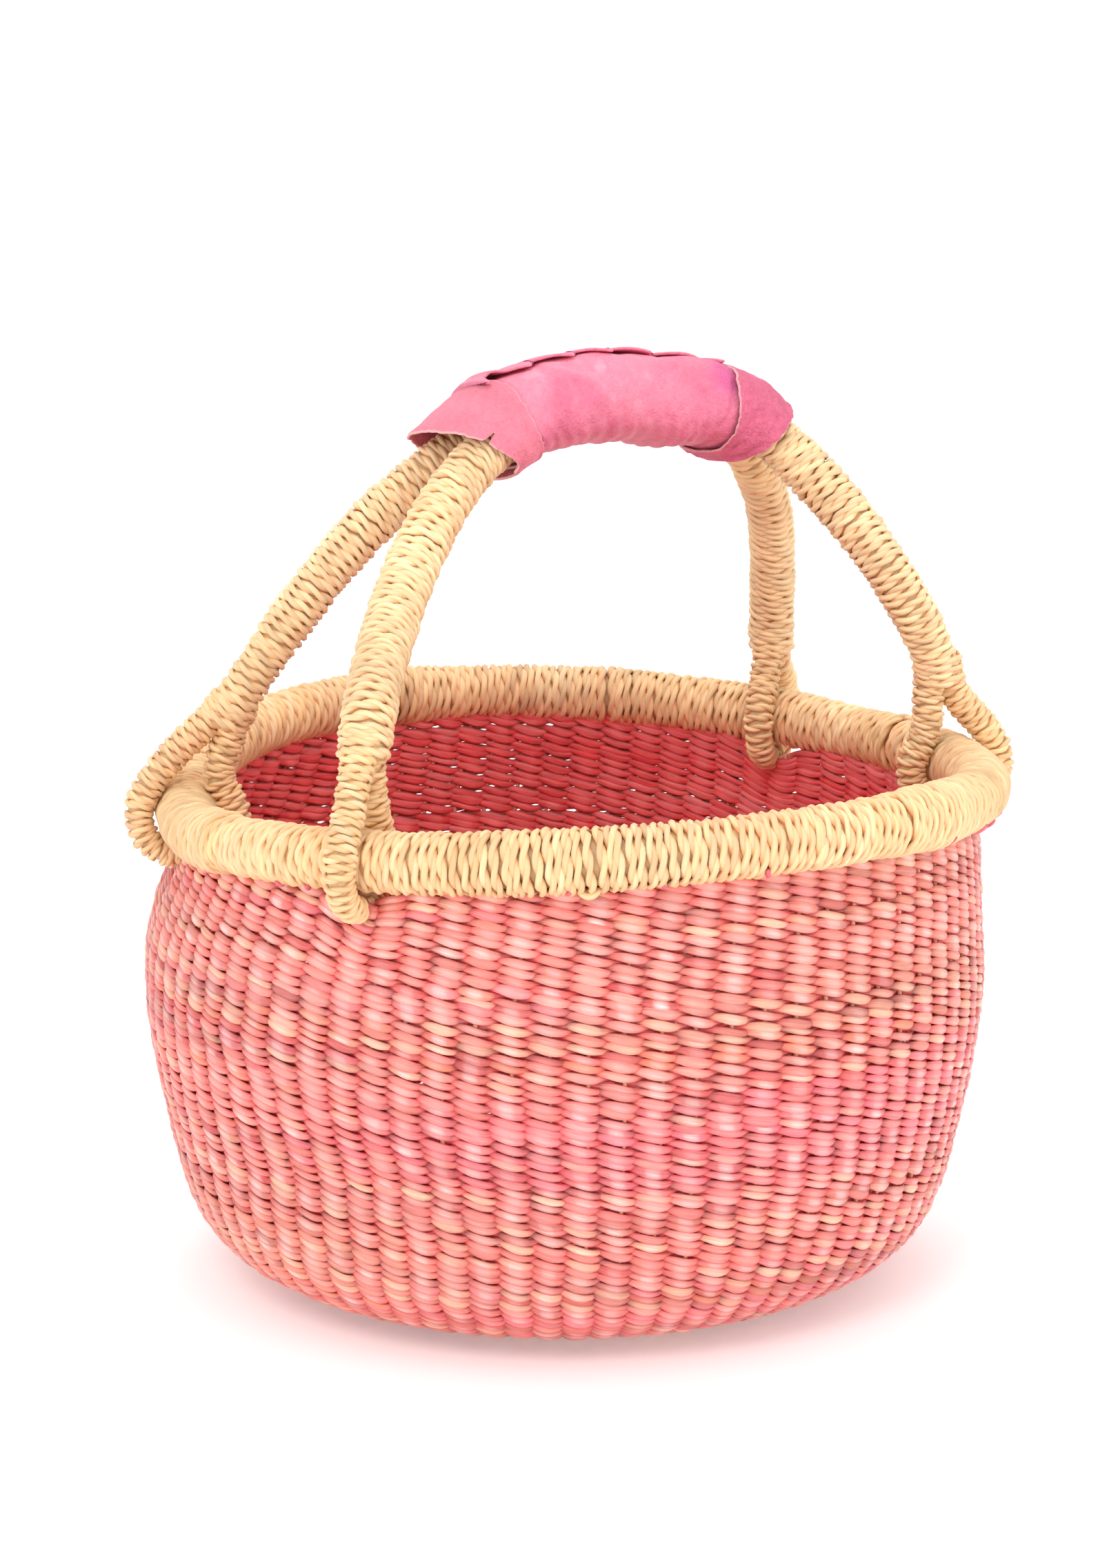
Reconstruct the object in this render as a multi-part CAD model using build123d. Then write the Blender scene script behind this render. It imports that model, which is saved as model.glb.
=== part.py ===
from build123d import *
import os
from math import acos, atan2, cos, degrees, exp, radians, sin, sqrt

# A round hand-woven straw basket with a wrapped rim hoop and a four-legged carrying handle.
# Millimetres, +Z up.  The origin is the centre of the base, on the surface the basket stands on.
# +X runs along the grip.  The front arch of the handle is on the -Y side.

# ---- Body -------------------------------------------------------------------------------
BASE_RADIUS = 62.0              # flat part of the base
WALL_OUTLINE = [                # outer face of the wall: (radius, height), base edge to rim
    (BASE_RADIUS, 0.0),
    (98.0, 4.5),
    (125.5, 20.0),
    (141.5, 55.0),
    (149.8, 105.0),
    (148.4, 137.0),
    (140.2, 175.0),
]
WALL_TOP_SLOPE = -0.25          # change of radius per unit height where the wall meets the rim
WEFT_THICKNESS = 1.8            # one layer of weaving straw
STAKE_RADIUS = 0.8
LAYER_GAP = 0.1                 # clearance between neighbouring layers
STAKE_COUNT = 76                # upright straws in the wall; every second one starts in the base
CROSS_RADIUS = 27.0             # the crossed straws that the base is started with
CROSS_STRAW_RADIUS = 1.0
CROSS_PITCH = 2.8

# ---- Rim --------------------------------------------------------------------------------
RIM_RADIUS = 141.3              # centreline of the hoop
RIM_SHIFT = (5.1, -3.1)         # the hoop sits slightly off the centre of the body
RIM_HEIGHT = 178.8
RIM_WAVE = 4.6                  # the hoop dips by this much at the handle's ends, and rises between
RIM_DROOP = 8.0                 # it also sags near the back left foot
RIM_DROOP_ANGLE = 157.0
RIM_DROOP_WIDTH = 25.0          # degrees from the deepest point to where a third of the sag is left
RIM_CORE_RADIUS = 8.5
RIM_TUBE_RADIUS = 11.0
RIM_WALL_CLEARANCE = 0.4
WRAP_GAP = 0.1                  # clearance between a bundle and the cord round it
RIM_CUT_DEG = 90                # the wall is cut back under the rim one stretch at a time
CORD_JOIN_DEG = 0.4             # the rim cord starts and ends here

# ---- Handle -----------------------------------------------------------------------------
ARCH_POINTS = {                 # centreline of each arch between its forks; the crown leans back
    "front": [
        (-91.0, -34.5, 242.0),
        (-44.0, -1.5, 287.0),
        (-10.0, 7.0, 306.0),
        (32.5, 9.5, 312.0),
        (71.0, 6.5, 305.5),
        (95.2, -1.2, 287.0),
        (119.0, -35.0, 242.0),
    ],
    "back": [
        (-83.4, 41.4, 241.5),
        (-47.2, 31.9, 280.4),
        (-10.0, 28.0, 302.5),
        (32.5, 30.0, 308.5),
        (71.0, 27.0, 302.0),
        (98.3, 31.0, 282.0),
    ],
}
ARCH_CORE_RADIUS = 6.5
ARCH_TUBE_RADIUS = 9.6

# Each leg splits into two prongs that close round the rim.  Angle round the rim, turn of the loop
# out of the radial direction, height of the fork over the hoop's centreline, how far inside the
# hoop the fork is, and how much the leg leans outwards there.
FEET = {
    "front_left": (207.5, 9.5, 34.0, 3.0, 16.0),
    "front_right": (-15.5, 0.0, 30.0, 6.0, 12.0),
    "back_left": (154.0, 0.0, 32.5, 12.5, 36.0),
    "back_right": (27.5, 10.7, 26.0, 2.0, 5.0),
}
PRONG_CORE_RADIUS = 3.8
PRONG_TUBE_RADIUS = 6.0
LOOP_SIDE_CLEARANCE = 1.2       # between a prong and the side of the rim
LOOP_PLAY = 2.8                 # room over and under the rim inside a loop, which lets it rock
PRONG_END_GAP = 0.2
FORK_GAP = 5.0                  # between the end of a leg and the slanted ends of its prongs
WINDOW_MARGIN = 3.2             # room round a loop where it passes through the wall

# ---- Leather grip -----------------------------------------------------------------------
GRIP_SPAN = (-50.0, 54.0)       # the sleeve, along the grip from the crown
LEFT_CUFF_SPAN = (-66.0, -34.0)
RIGHT_CUFF_SPAN = (44.0, 64.5)
GRIP_WIDTH = 26.0               # half the outside width of the sleeve
GRIP_HEIGHT = 16.4              # half its outside height
LEATHER_THICKNESS = 1.8
CUFF_WIDTH = 30.4
CUFF_HEIGHT = 18.6
STITCH_SPAN = (-27.0, 35.0)     # the lapped edge is held down at even distances between these
STITCH_COUNT = 5
STITCH_LENGTH = 3.4
STITCH_RADIUS = 0.5


def save(name, shape):
    """Write one sub-part."""
    shape.label = name
    export_step(shape, f"parts/{name}.step")


# ---- Outline of the wall ----------------------------------------------------------------
def wall_line(inset):
    """The wall's outline in the XZ plane, moved in from the outer face by inset."""
    outer = Spline(
        *[(radius, 0, height) for radius, height in WALL_OUTLINE],
        tangents=((1, 0, 0), (WALL_TOP_SLOPE, 0, 1)),
    )
    if inset == 0:
        return outer
    points = []
    steps = len(WALL_OUTLINE)
    for step in range(steps + 1):
        along = step / steps
        direction = outer % along
        points.append(outer @ along + Vector(-direction.Z, 0, direction.X) * inset)
    return Spline(*points, tangents=(outer % 0, outer % 1))


def wall_layer(outer_inset):
    """One layer of weaving, as a shell of revolution."""
    outer = wall_line(outer_inset)
    inner = wall_line(outer_inset + WEFT_THICKNESS)
    foot = Line(outer @ 0, inner @ 0)
    top = Line(outer @ 1, inner @ 1)
    return revolve(make_face([outer, top, inner, foot]), axis=Axis.Z)


# ---- Rim --------------------------------------------------------------------------------
def rim_point(angle):
    """Centre of the hoop at an angle in degrees round it."""
    turn = radians(angle)
    from_droop = (angle - RIM_DROOP_ANGLE + 180) % 360 - 180
    droop = RIM_DROOP * exp(-((from_droop / RIM_DROOP_WIDTH) ** 2))
    return Vector(
        RIM_SHIFT[0] + RIM_RADIUS * cos(turn),
        RIM_SHIFT[1] + RIM_RADIUS * sin(turn),
        RIM_HEIGHT - RIM_WAVE * cos(2 * turn) - droop,
    )


def rod(path, radius, bore=0.0):
    """A round bar along a path, or a tube if it has a bore."""
    section = Circle(radius)
    if bore:
        section -= Circle(bore)
    return sweep(Plane(origin=path @ 0, z_dir=path % 0) * section, path=path)


def rim_arc(first, last):
    """The hoop's centreline between two angles."""
    steps = 16
    return Spline(*[rim_point(first + (last - first) * step / steps) for step in range(steps + 1)])


def room_for_rim(first, last):
    """A band over the wall, flat underneath, whose underside follows the rim's own."""
    path = rim_arc(first, last)
    outward = (path @ 0) - Vector(RIM_SHIFT[0], RIM_SHIFT[1], (path @ 0).Z)
    start = Plane(origin=path @ 0, x_dir=outward, z_dir=path % 0)
    side = 4 * RIM_TUBE_RADIUS
    underside = RIM_TUBE_RADIUS + RIM_WALL_CLEARANCE
    section = start * Pos(0, underside - side / 2, 0) * Rectangle(side, side)
    return sweep(section, path=path)


# ---- Handle feet ------------------------------------------------------------------------
def foot_frame(name):
    """Centre of the rim at a foot, and the outward direction of the loop there."""
    angle, turn = FEET[name][:2]
    outward = radians(angle + turn)
    return rim_point(angle), Vector(cos(outward), sin(outward), 0)


def fork(name):
    """Where a leg ends, and the direction it ends in."""
    centre, outward = foot_frame(name)
    height, inset, lean = FEET[name][2:]
    down = outward * sin(radians(lean)) - Vector(0, 0, 1) * cos(radians(lean))
    return centre - outward * inset + Vector(0, 0, height), down


def prong_path(name, side):
    """Centreline of a prong: straight down to the rim, round its shoulder, and under it.

    side is 1 for the prong outside the rim and -1 for the one inside.
    """
    centre, outward = foot_frame(name)
    end, down = fork(name)
    lean = radians(FEET[name][4])
    across = outward * cos(lean) + Vector(0, 0, 1) * sin(lean)
    start = end + down * FORK_GAP + across * side * (PRONG_TUBE_RADIUS + PRONG_END_GAP)
    reach = RIM_TUBE_RADIUS + LOOP_SIDE_CLEARANCE + PRONG_TUBE_RADIUS
    from_rim = start - centre - Vector(0, 0, LOOP_PLAY)
    start_angle = degrees(atan2(from_rim.Z, from_rim.dot(outward) * side))
    touch_angle = start_angle - degrees(acos(reach / from_rim.length))
    tip_angle = -90 + degrees(PRONG_END_GAP / reach)

    def around(angle, shift):
        """A point at this angle above the horizontal, round a circle shifted up from the hoop."""
        sideways = outward * side * reach * cos(radians(angle))
        return centre + sideways + Vector(0, 0, reach * sin(radians(angle)) + shift)

    touch = around(touch_angle, LOOP_PLAY)
    shoulder = ThreePointArc(touch, around(touch_angle / 2, LOOP_PLAY), around(0, LOOP_PLAY))
    hip = Line(around(0, LOOP_PLAY), around(0, -LOOP_PLAY))
    under = ThreePointArc(
        around(0, -LOOP_PLAY), around(tip_angle / 2, -LOOP_PLAY), around(tip_angle, -LOOP_PLAY)
    )
    return Wire([Line(start, touch), shoulder, hip, under])


# ---- Handle arches ----------------------------------------------------------------------
def arch_path(row):
    """Centreline of one arch, from its left fork to its right fork."""
    left_end, left_down = fork(f"{row}_left")
    right_end, right_down = fork(f"{row}_right")
    return Spline(
        left_end, *ARCH_POINTS[row], right_end, tangents=(left_down * -1, right_down)
    )


def grip_line(first, last):
    """The line midway between the arches, between two distances along it from the crown."""
    pairs = zip(ARCH_POINTS["front"][1:-1], ARCH_POINTS["back"][1:])
    middle = [(Vector(*front) + Vector(*back)) / 2 for front, back in pairs]
    whole = Spline(*middle)
    return whole.trim(0.5 + first / whole.length, 0.5 + last / whole.length)


def oval_sleeve(path, width, height, bore_width, bore_height):
    """An oval tube along a path, its wide way across the grip."""
    start = Plane(origin=path @ 0, x_dir=(0, 1, 0), z_dir=path % 0)
    section = Ellipse(width, height) - Ellipse(bore_width, bore_height)
    return sweep(start * section, path=path)


# ---- Base -------------------------------------------------------------------------------
def crossed_straws():
    """Two layers of straws crossing at the centre of the base."""
    straws = []
    layers = (
        (10, 0, LAYER_GAP + CROSS_STRAW_RADIUS),
        (9, 90, 2 * LAYER_GAP + 3 * CROSS_STRAW_RADIUS),
    )
    for count, turn, height in layers:
        for index in range(count):
            offset = (index - (count - 1) / 2) * CROSS_PITCH
            half = sqrt(CROSS_RADIUS**2 - offset**2) - 2 * CROSS_STRAW_RADIUS
            straw = Cylinder(CROSS_STRAW_RADIUS, 2 * half, rotation=(0, 90, 0))
            straws.append(Rot(0, 0, turn) * Pos(0, offset, height) * straw)
    return Compound(children=straws)


def base_disc(floor):
    """One layer of the flat base's weaving."""
    outline = Circle(BASE_RADIUS - LAYER_GAP) - Circle(CROSS_RADIUS)
    return Pos(0, 0, floor) * extrude(outline, WEFT_THICKNESS)


# ---- Stakes -----------------------------------------------------------------------------
def rim_underside(angle, radius):
    """Lowest height of the rim over a point of the wall, with the clearance kept there."""
    point = Vector(radius * cos(radians(angle)), radius * sin(radians(angle)), 0)
    from_hoop = point - Vector(RIM_SHIFT[0], RIM_SHIFT[1], 0)
    turn = Vector(1, 0, 0).get_signed_angle(from_hoop, Vector(0, 0, 1))
    return rim_point(turn).Z - RIM_TUBE_RADIUS - RIM_WALL_CLEARANCE


def window_floor(name):
    """Height of the sill of the opening that a loop passes through."""
    centre = foot_frame(name)[0]
    loop = RIM_TUBE_RADIUS + LOOP_SIDE_CLEARANCE + 2 * PRONG_TUBE_RADIUS + LOOP_PLAY
    return centre.Z - loop - WINDOW_MARGIN


def stake_top(angle):
    """Where the stake at an angle round the body ends: under the rim, or under a window."""
    top_radius = WALL_OUTLINE[-1][0] - WEFT_THICKNESS - STAKE_RADIUS
    top = rim_underside(angle, top_radius) - STAKE_RADIUS
    for name in FEET:
        centre = foot_frame(name)[0]
        direction = Vector(centre.X, centre.Y, 0)
        aside = abs(direction.get_signed_angle(Vector(cos(radians(angle)), sin(radians(angle)), 0)))
        if radians(aside) * top_radius < PRONG_TUBE_RADIUS + WINDOW_MARGIN + STAKE_RADIUS:
            top = min(top, window_floor(name) - STAKE_RADIUS)
    return min(top, WALL_OUTLINE[-1][1] - STAKE_RADIUS)


def stakes(first, start_radius):
    """Every second stake, starting in the base or at its edge."""
    middle = WEFT_THICKNESS + LAYER_GAP + STAKE_RADIUS
    up_wall = wall_line(middle)
    path = up_wall
    if start_radius < BASE_RADIUS:
        path = Wire([Line((start_radius, 0, middle), up_wall @ 0), up_wall])
    start = Plane(origin=path @ 0, z_dir=path % 0)
    whole = sweep(start * Circle(STAKE_RADIUS), path=path)
    rods = []
    for index in range(first, STAKE_COUNT, 2):
        angle = 360 * index / STAKE_COUNT
        below = Pos(0, 0, stake_top(angle) - RIM_HEIGHT) * Box(
            2 * RIM_HEIGHT, 2 * RIM_HEIGHT, 2 * RIM_HEIGHT
        )
        rods.append(Rot(0, 0, angle) * whole & below)
    return Compound(children=[piece.solid() for piece in rods])


# ---- Stitches ---------------------------------------------------------------------------
def seam_stitches():
    """Short stitches of cord along the top of the grip."""
    seam = grip_line(*STITCH_SPAN)
    stitches = []
    for index in range(STITCH_COUNT):
        along = index / (STITCH_COUNT - 1)
        place = Plane(origin=seam @ along, x_dir=(0, 1, 0), z_dir=seam % along)
        rise = GRIP_HEIGHT + STITCH_RADIUS + LAYER_GAP
        stitch = Cylinder(STITCH_RADIUS, STITCH_LENGTH)
        stitches.append(place * Pos(0, rise, 0) * stitch)
    return Compound(children=stitches)


# ---- Openings for the loops -------------------------------------------------------------
def loop_window(name):
    """The room a loop needs where it passes through the wall under the rim."""
    centre, outward = foot_frame(name)
    floor = window_floor(name)
    height = centre.Z - floor
    width = 2 * (PRONG_TUBE_RADIUS + WINDOW_MARGIN)
    length = 2 * (RIM_TUBE_RADIUS + 4 * PRONG_TUBE_RADIUS)
    place = Plane(origin=(centre.X, centre.Y, floor + height / 2), x_dir=outward, z_dir=(0, 0, 1))
    return place * Box(length, width, height)


os.makedirs("parts", exist_ok=True)

# Base and body
save("base_cross_straws", crossed_straws())
upper_floor = WEFT_THICKNESS + 2 * LAYER_GAP + 2 * STAKE_RADIUS
save("base_weft_lower", base_disc(0))
save("base_weft_upper", base_disc(upper_floor))
save("main_stakes", stakes(0, CROSS_RADIUS + CROSS_STRAW_RADIUS))
save("added_stakes", stakes(1, BASE_RADIUS))

for layer_name, inset in (("wall_weft_outer", 0), ("wall_weft_inner", upper_floor)):
    layer = wall_layer(inset)
    for first in range(0, 360, RIM_CUT_DEG):
        layer -= room_for_rim(first - 1, first + RIM_CUT_DEG)
    for foot in FEET:
        layer -= loop_window(foot)
    save(layer_name, layer.solid())

# Rim
hoop = rim_arc(90 + CORD_JOIN_DEG / 2, 450 - CORD_JOIN_DEG / 2)
save("rim_core", rod(hoop, RIM_CORE_RADIUS))
save("rim_wrap", rod(hoop, RIM_TUBE_RADIUS, RIM_CORE_RADIUS + WRAP_GAP))

# Handle arches and their forked feet
for row in ARCH_POINTS:
    arch = arch_path(row)
    save(f"{row}_arch_core", rod(arch, ARCH_CORE_RADIUS))
    save(f"{row}_arch_wrap", rod(arch, ARCH_TUBE_RADIUS, ARCH_CORE_RADIUS + WRAP_GAP))
for foot in FEET:
    for prong, side_of_rim in (("outer", 1), ("inner", -1)):
        line = prong_path(foot, side_of_rim)
        save(f"{foot}_{prong}_prong_core", rod(line, PRONG_CORE_RADIUS))
        wrap = rod(line, PRONG_TUBE_RADIUS, PRONG_CORE_RADIUS + WRAP_GAP)
        save(f"{foot}_{prong}_prong_wrap", wrap)

# Leather grip
bore_width = GRIP_WIDTH - LEATHER_THICKNESS
bore_height = GRIP_HEIGHT - LEATHER_THICKNESS
sleeve_line = grip_line(*GRIP_SPAN)
save("grip_sleeve", oval_sleeve(sleeve_line, GRIP_WIDTH, GRIP_HEIGHT, bore_width, bore_height))
cuff_bore = (CUFF_WIDTH - LEATHER_THICKNESS, CUFF_HEIGHT - LEATHER_THICKNESS)
left_cuff = oval_sleeve(grip_line(*LEFT_CUFF_SPAN), CUFF_WIDTH, CUFF_HEIGHT, *cuff_bore)
save("left_grip_cuff", left_cuff)
right_cuff = oval_sleeve(grip_line(*RIGHT_CUFF_SPAN), CUFF_WIDTH, CUFF_HEIGHT, *cuff_bore)
save("right_grip_cuff", right_cuff)
save("grip_seam_stitches", seam_stitches())
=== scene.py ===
import math

import bpy
import numpy as np
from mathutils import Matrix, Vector


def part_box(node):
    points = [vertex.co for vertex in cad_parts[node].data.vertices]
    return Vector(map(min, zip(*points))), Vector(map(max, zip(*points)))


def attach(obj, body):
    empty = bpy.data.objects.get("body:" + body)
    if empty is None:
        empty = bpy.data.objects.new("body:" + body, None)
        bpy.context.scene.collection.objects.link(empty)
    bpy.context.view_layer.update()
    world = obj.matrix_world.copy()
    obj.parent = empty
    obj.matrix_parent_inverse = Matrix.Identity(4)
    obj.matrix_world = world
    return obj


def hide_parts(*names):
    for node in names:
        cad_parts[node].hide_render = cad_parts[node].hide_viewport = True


# A round woven straw basket with a wrapped rim and a forked, wrapped handle.
# Shapes are worked out in millimetres and made into meshes in metres.
MM = 0.001
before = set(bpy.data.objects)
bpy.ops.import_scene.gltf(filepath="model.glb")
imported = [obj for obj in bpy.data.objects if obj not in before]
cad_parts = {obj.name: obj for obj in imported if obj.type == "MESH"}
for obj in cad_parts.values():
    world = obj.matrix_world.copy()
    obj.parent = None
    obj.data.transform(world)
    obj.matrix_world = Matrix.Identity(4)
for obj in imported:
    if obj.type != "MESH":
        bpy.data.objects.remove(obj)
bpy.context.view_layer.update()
random = np.random.default_rng(20)

# ---- Sizes, in millimetres
WALL_THICKNESS = 5.2
BASE_RADIUS = 62.0
CROSS_RADIUS = 27.0
WALL_OUTLINE = [(62.0, 0.0), (101.0, 3.6), (128.0, 18.5), (142.4, 55.0),
                (150.2, 105.0), (148.6, 137.0), (140.2, 175.0)]
STAKES = 76
ROW_PITCH = 3.08
BASE_ROW_PITCH = 3.0
ROWS_IN_A_BAND = 9
STEPS_PER_STAKE = 8
STRAND_SIDES = 7
STRAW_SINK = 0.95

RIM_TUBE = 10.9
# Each cord: pitch of its turns, half thickness, length of one twist, distance between its points.
RIM_CORD = (3.25, 1.72, 17.0, 1.6)
ARCH_CORD = (3.25, 1.68, 15.0, 1.6)
PRONG_CORD = (3.0, 1.45, 13.0, 1.5)
BOUND_CORD = (2.9, 1.6, 14.0, 1.2)
# Outside radius of each arch's wrap at its left and right ends.
ARCH_TUBES = {"front": (9.5, 9.0), "back": (8.7, 8.9)}
LOOP_REACH = 16.9
# Each foot: its angle on the rim and extra turn, the height and inset of its fork, and the fork's lean.
FEET = {
    "front_left": (207.5, 9.5, 34.0, 3.0, 16.0),
    "front_right": (-15.5, 0.0, 30.0, 6.0, 12.0),
    "back_left": (154.0, 0.0, 32.5, 12.5, 36.0),
    "back_right": (27.5, 10.7, 26.0, 2.0, 5.0),
}
ARCH_POINTS = {
    "front": [(-91, -34.5, 242), (-44, -1.5, 287), (-10, 7, 306), (32.5, 9.5, 312),
              (71, 6.5, 305.5), (95.2, -1.2, 287), (119, -35, 242)],
    "back": [(-83.4, 41.4, 241.5), (-47.2, 31.9, 280.4), (-10, 28, 302.5), (32.5, 30, 308.5),
             (71, 27, 302), (98.3, 31, 282)],
}


# ---- Curves
def unit(v):
    return v / np.maximum(np.linalg.norm(v, axis=-1, keepdims=True), 1e-12)


def smoothstep(low, high, x):
    t = np.clip((x - low) / (high - low), 0, 1)
    return t * t * (3 - 2 * t)


def half_turn(angle):
    """An angle brought to between minus half a turn and half a turn."""
    return (angle + np.pi) % (2 * np.pi) - np.pi


def cubic(points, start=None, end=None, count=400):
    """A cubic spline through points, resampled at even distances; end directions are optional."""
    q = np.asarray(points, float)
    t = np.r_[0, np.cumsum(np.linalg.norm(np.diff(q, axis=0), axis=1))]
    h = np.diff(t)
    n = len(q)
    a = np.zeros((n, n))
    b = np.zeros_like(q)
    for i in range(1, n - 1):
        a[i, i - 1:i + 2] = h[i - 1], 2 * (h[i - 1] + h[i]), h[i]
        b[i] = 6 * ((q[i + 1] - q[i]) / h[i] - (q[i] - q[i - 1]) / h[i - 1])
    a[0, 0] = a[-1, -1] = 1
    if start is not None:
        a[0, :2] = 2 * h[0], h[0]
        b[0] = 6 * ((q[1] - q[0]) / h[0] - unit(np.asarray(start, float)))
    if end is not None:
        a[-1, -2:] = h[-1], 2 * h[-1]
        b[-1] = 6 * (unit(np.asarray(end, float)) - (q[-1] - q[-2]) / h[-1])
    m = np.linalg.solve(a, b)
    u = np.linspace(0, t[-1], 4000)
    i = np.clip(np.searchsorted(t, u, side="right") - 1, 0, n - 2)
    left, right, width = (u - t[i])[:, None], (t[i + 1] - u)[:, None], h[i][:, None]
    curve = (m[i] * right**3 + m[i + 1] * left**3) / (6 * width)
    curve += (q[i] / width - m[i] * width / 6) * right + (q[i + 1] / width - m[i + 1] * width / 6) * left
    return evenly(curve, count)


def length_along(curve):
    return np.r_[0, np.cumsum(np.linalg.norm(np.diff(curve, axis=0), axis=1))]


def evenly(curve, count):
    """A polyline resampled at even distances."""
    along = length_along(curve)
    return at(curve, along, np.linspace(0, along[-1], count))


def at(curve, along, where):
    """Values of a curve's columns at distances along it."""
    return np.stack([np.interp(where, along, curve[:, k]) for k in range(curve.shape[1])], -1)


def carried_frame(curve, first):
    """Unit tangents and two normals along a curve, with the least twist."""
    tangent = unit(np.gradient(curve, axis=0))
    normal = np.zeros_like(curve)
    previous = np.asarray(first, float)
    for i, direction in enumerate(tangent):
        previous = previous - direction * (previous @ direction)
        previous = previous / np.linalg.norm(previous)
        normal[i] = previous
    return tangent, normal, np.cross(tangent, normal)


# ---- Meshes
def add_object(name, data):
    thing = bpy.data.objects.new(name, data)
    bpy.context.scene.collection.objects.link(thing)
    return thing


def fill(data, key, values, kind=np.float32):
    """Write one value to each element of a mesh's data."""
    data.foreach_set(key, values.astype(kind).ravel())


def build_mesh(name, points, quads, triangles, uv, colour, fibre):
    """A smooth-shaded mesh object from arrays in millimetres."""
    mesh = bpy.data.meshes.new(name)
    mesh.vertices.add(len(points))
    fill(mesh.vertices, "co", points * MM)
    starts = np.concatenate([np.arange(len(quads)) * 4, len(quads) * 4 + np.arange(len(triangles)) * 3])
    mesh.loops.add(quads.size + triangles.size)
    fill(mesh.loops, "vertex_index", np.concatenate([quads.ravel(), triangles.ravel()]), np.int32)
    mesh.polygons.add(len(starts))
    fill(mesh.polygons, "loop_start", starts, np.int32)
    fill(mesh.polygons, "use_smooth", np.ones(len(starts)), bool)
    mesh.update(calc_edges=True)
    fill(mesh.uv_layers.new(name="OFBake").data, "uv", uv)
    rgba = np.concatenate([colour, np.ones((len(colour), 1))], 1)
    fill(mesh.attributes.new("straw", "FLOAT_COLOR", "POINT").data, "color", rgba)
    fill(mesh.attributes.new("fibre", "FLOAT_VECTOR", "POINT").data, "vector", fibre)
    mesh.validate()
    return add_object(name, mesh)


NO_TRIANGLES = np.zeros((0, 3), int)


def strands(name, centre, out, across, half_out, half_across, sides, closed, colour, along):
    """Many straws as one mesh.

    centre, out and across are (straw, step, 3): the centreline and two unit directions.
    half_out and half_across are the half sizes in those directions, (straw, step).
    colour is (straw, step, 3) or (straw, step, side, 3); along is (straw, step), in millimetres.
    """
    count, steps = centre.shape[:2]
    turn = np.arange(sides) * 2 * np.pi / sides
    ring = (half_out[..., None, None] * np.cos(turn)[:, None] * out[:, :, None, :]
            + half_across[..., None, None] * np.sin(turn)[:, None] * across[:, :, None, :])
    points = (centre[:, :, None, :] + ring).reshape(-1, 3)
    spans = steps if closed else steps - 1
    s, i, k = np.meshgrid(np.arange(count), np.arange(spans), np.arange(sides), indexing="ij")

    def index(step, side):
        return (s * steps + step % steps) * sides + side % sides

    quads = np.stack([index(i, k), index(i + 1, k), index(i + 1, k + 1), index(i, k + 1)], -1)
    quads = quads.reshape(-1, 4)
    low_u, high_u = i / spans, (i + 1) / spans
    low_v = (s + 0.05 + 0.9 * k / sides) / count
    high_v = (s + 0.05 + 0.9 * (k + 1) / sides) / count
    uv = np.stack([low_u, low_v, high_u, low_v, high_u, high_v, low_u, high_v], -1).reshape(-1, 2)
    if colour.ndim == 3:
        colour = np.repeat(colour[:, :, None, :], sides, axis=2)
    fibre = np.stack(np.broadcast_arrays(
        along[..., None], np.arange(sides) * 1.0, np.arange(count)[:, None, None] * 7.3), -1)
    colour = colour.reshape(-1, 3)
    fibre = fibre.reshape(-1, 3)
    triangles = NO_TRIANGLES
    if not closed:
        ends = np.concatenate([centre[:, 0], centre[:, -1]])
        points = np.concatenate([points, ends])
        first = count * steps * sides + np.arange(count)[:, None]
        side = np.arange(sides)[None, :]
        start = (np.arange(count)[:, None] * steps) * sides
        finish = start + (steps - 1) * sides
        after = (side + 1) % sides
        fans = [np.stack(np.broadcast_arrays(first, start + side, start + after), -1),
                np.stack(np.broadcast_arrays(first + count, finish + after, finish + side), -1)]
        triangles = np.concatenate([fan.reshape(-1, 3) for fan in fans])
        uv = np.concatenate([uv, np.zeros((len(triangles) * 3, 2))])
        straw = steps * sides
        colour, fibre = (np.concatenate([values, values[::straw], values[straw - 1::straw]])
                         for values in (colour, fibre))
    return build_mesh(name, points, quads, triangles, uv, colour, fibre)


def short_straws(name, centre, hint, size, colour):
    """Short round straws; hint is a direction that isn't along them."""
    tangent = unit(np.gradient(centre, axis=1))
    out = unit(np.cross(tangent, np.broadcast_to(hint, centre.shape)))
    count, steps = centre.shape[:2]
    size = np.broadcast_to(size, (count, steps))
    along = np.broadcast_to(np.arange(float(steps)), (count, steps))
    shade = np.broadcast_to(colour, centre.shape)
    return strands(name, centre, out, np.cross(tangent, out), size, size, 8, False, shade, along)


def smooth_noise(shape, reach):
    """Random values with a smooth change along each axis over about reach cells, from -1 to 1."""
    values = random.normal(size=shape)
    for axis, cells in enumerate(reach):
        if cells < 1:
            continue
        offsets = np.arange(-3 * cells, 3 * cells + 1)
        weights = np.exp(-0.5 * (offsets / cells) ** 2)
        values = sum(w * np.roll(values, int(o), axis) for w, o in zip(weights, offsets))
    values = values - values.mean()
    return values / max(values.std(), 1e-9)


# ---- Rim
rim_low, rim_high = (np.array(corner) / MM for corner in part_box("rim_wrap"))
CAD_TUBE = 11.0
RIM_WAVE = 4.6
RIM_CENTRE = np.array([*(rim_low + rim_high)[:2] / 2, rim_high[2] - CAD_TUBE - RIM_WAVE])
RIM_RADIUS = (rim_high[0] - rim_low[0]) / 2 - CAD_TUBE
RIM_LIFT = 0.8
DROOP = 8.0
DROOP_ANGLE = math.radians(157)
DROOP_WIDTH = math.radians(25)
DROOP_NARROWING = 1.5


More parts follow.
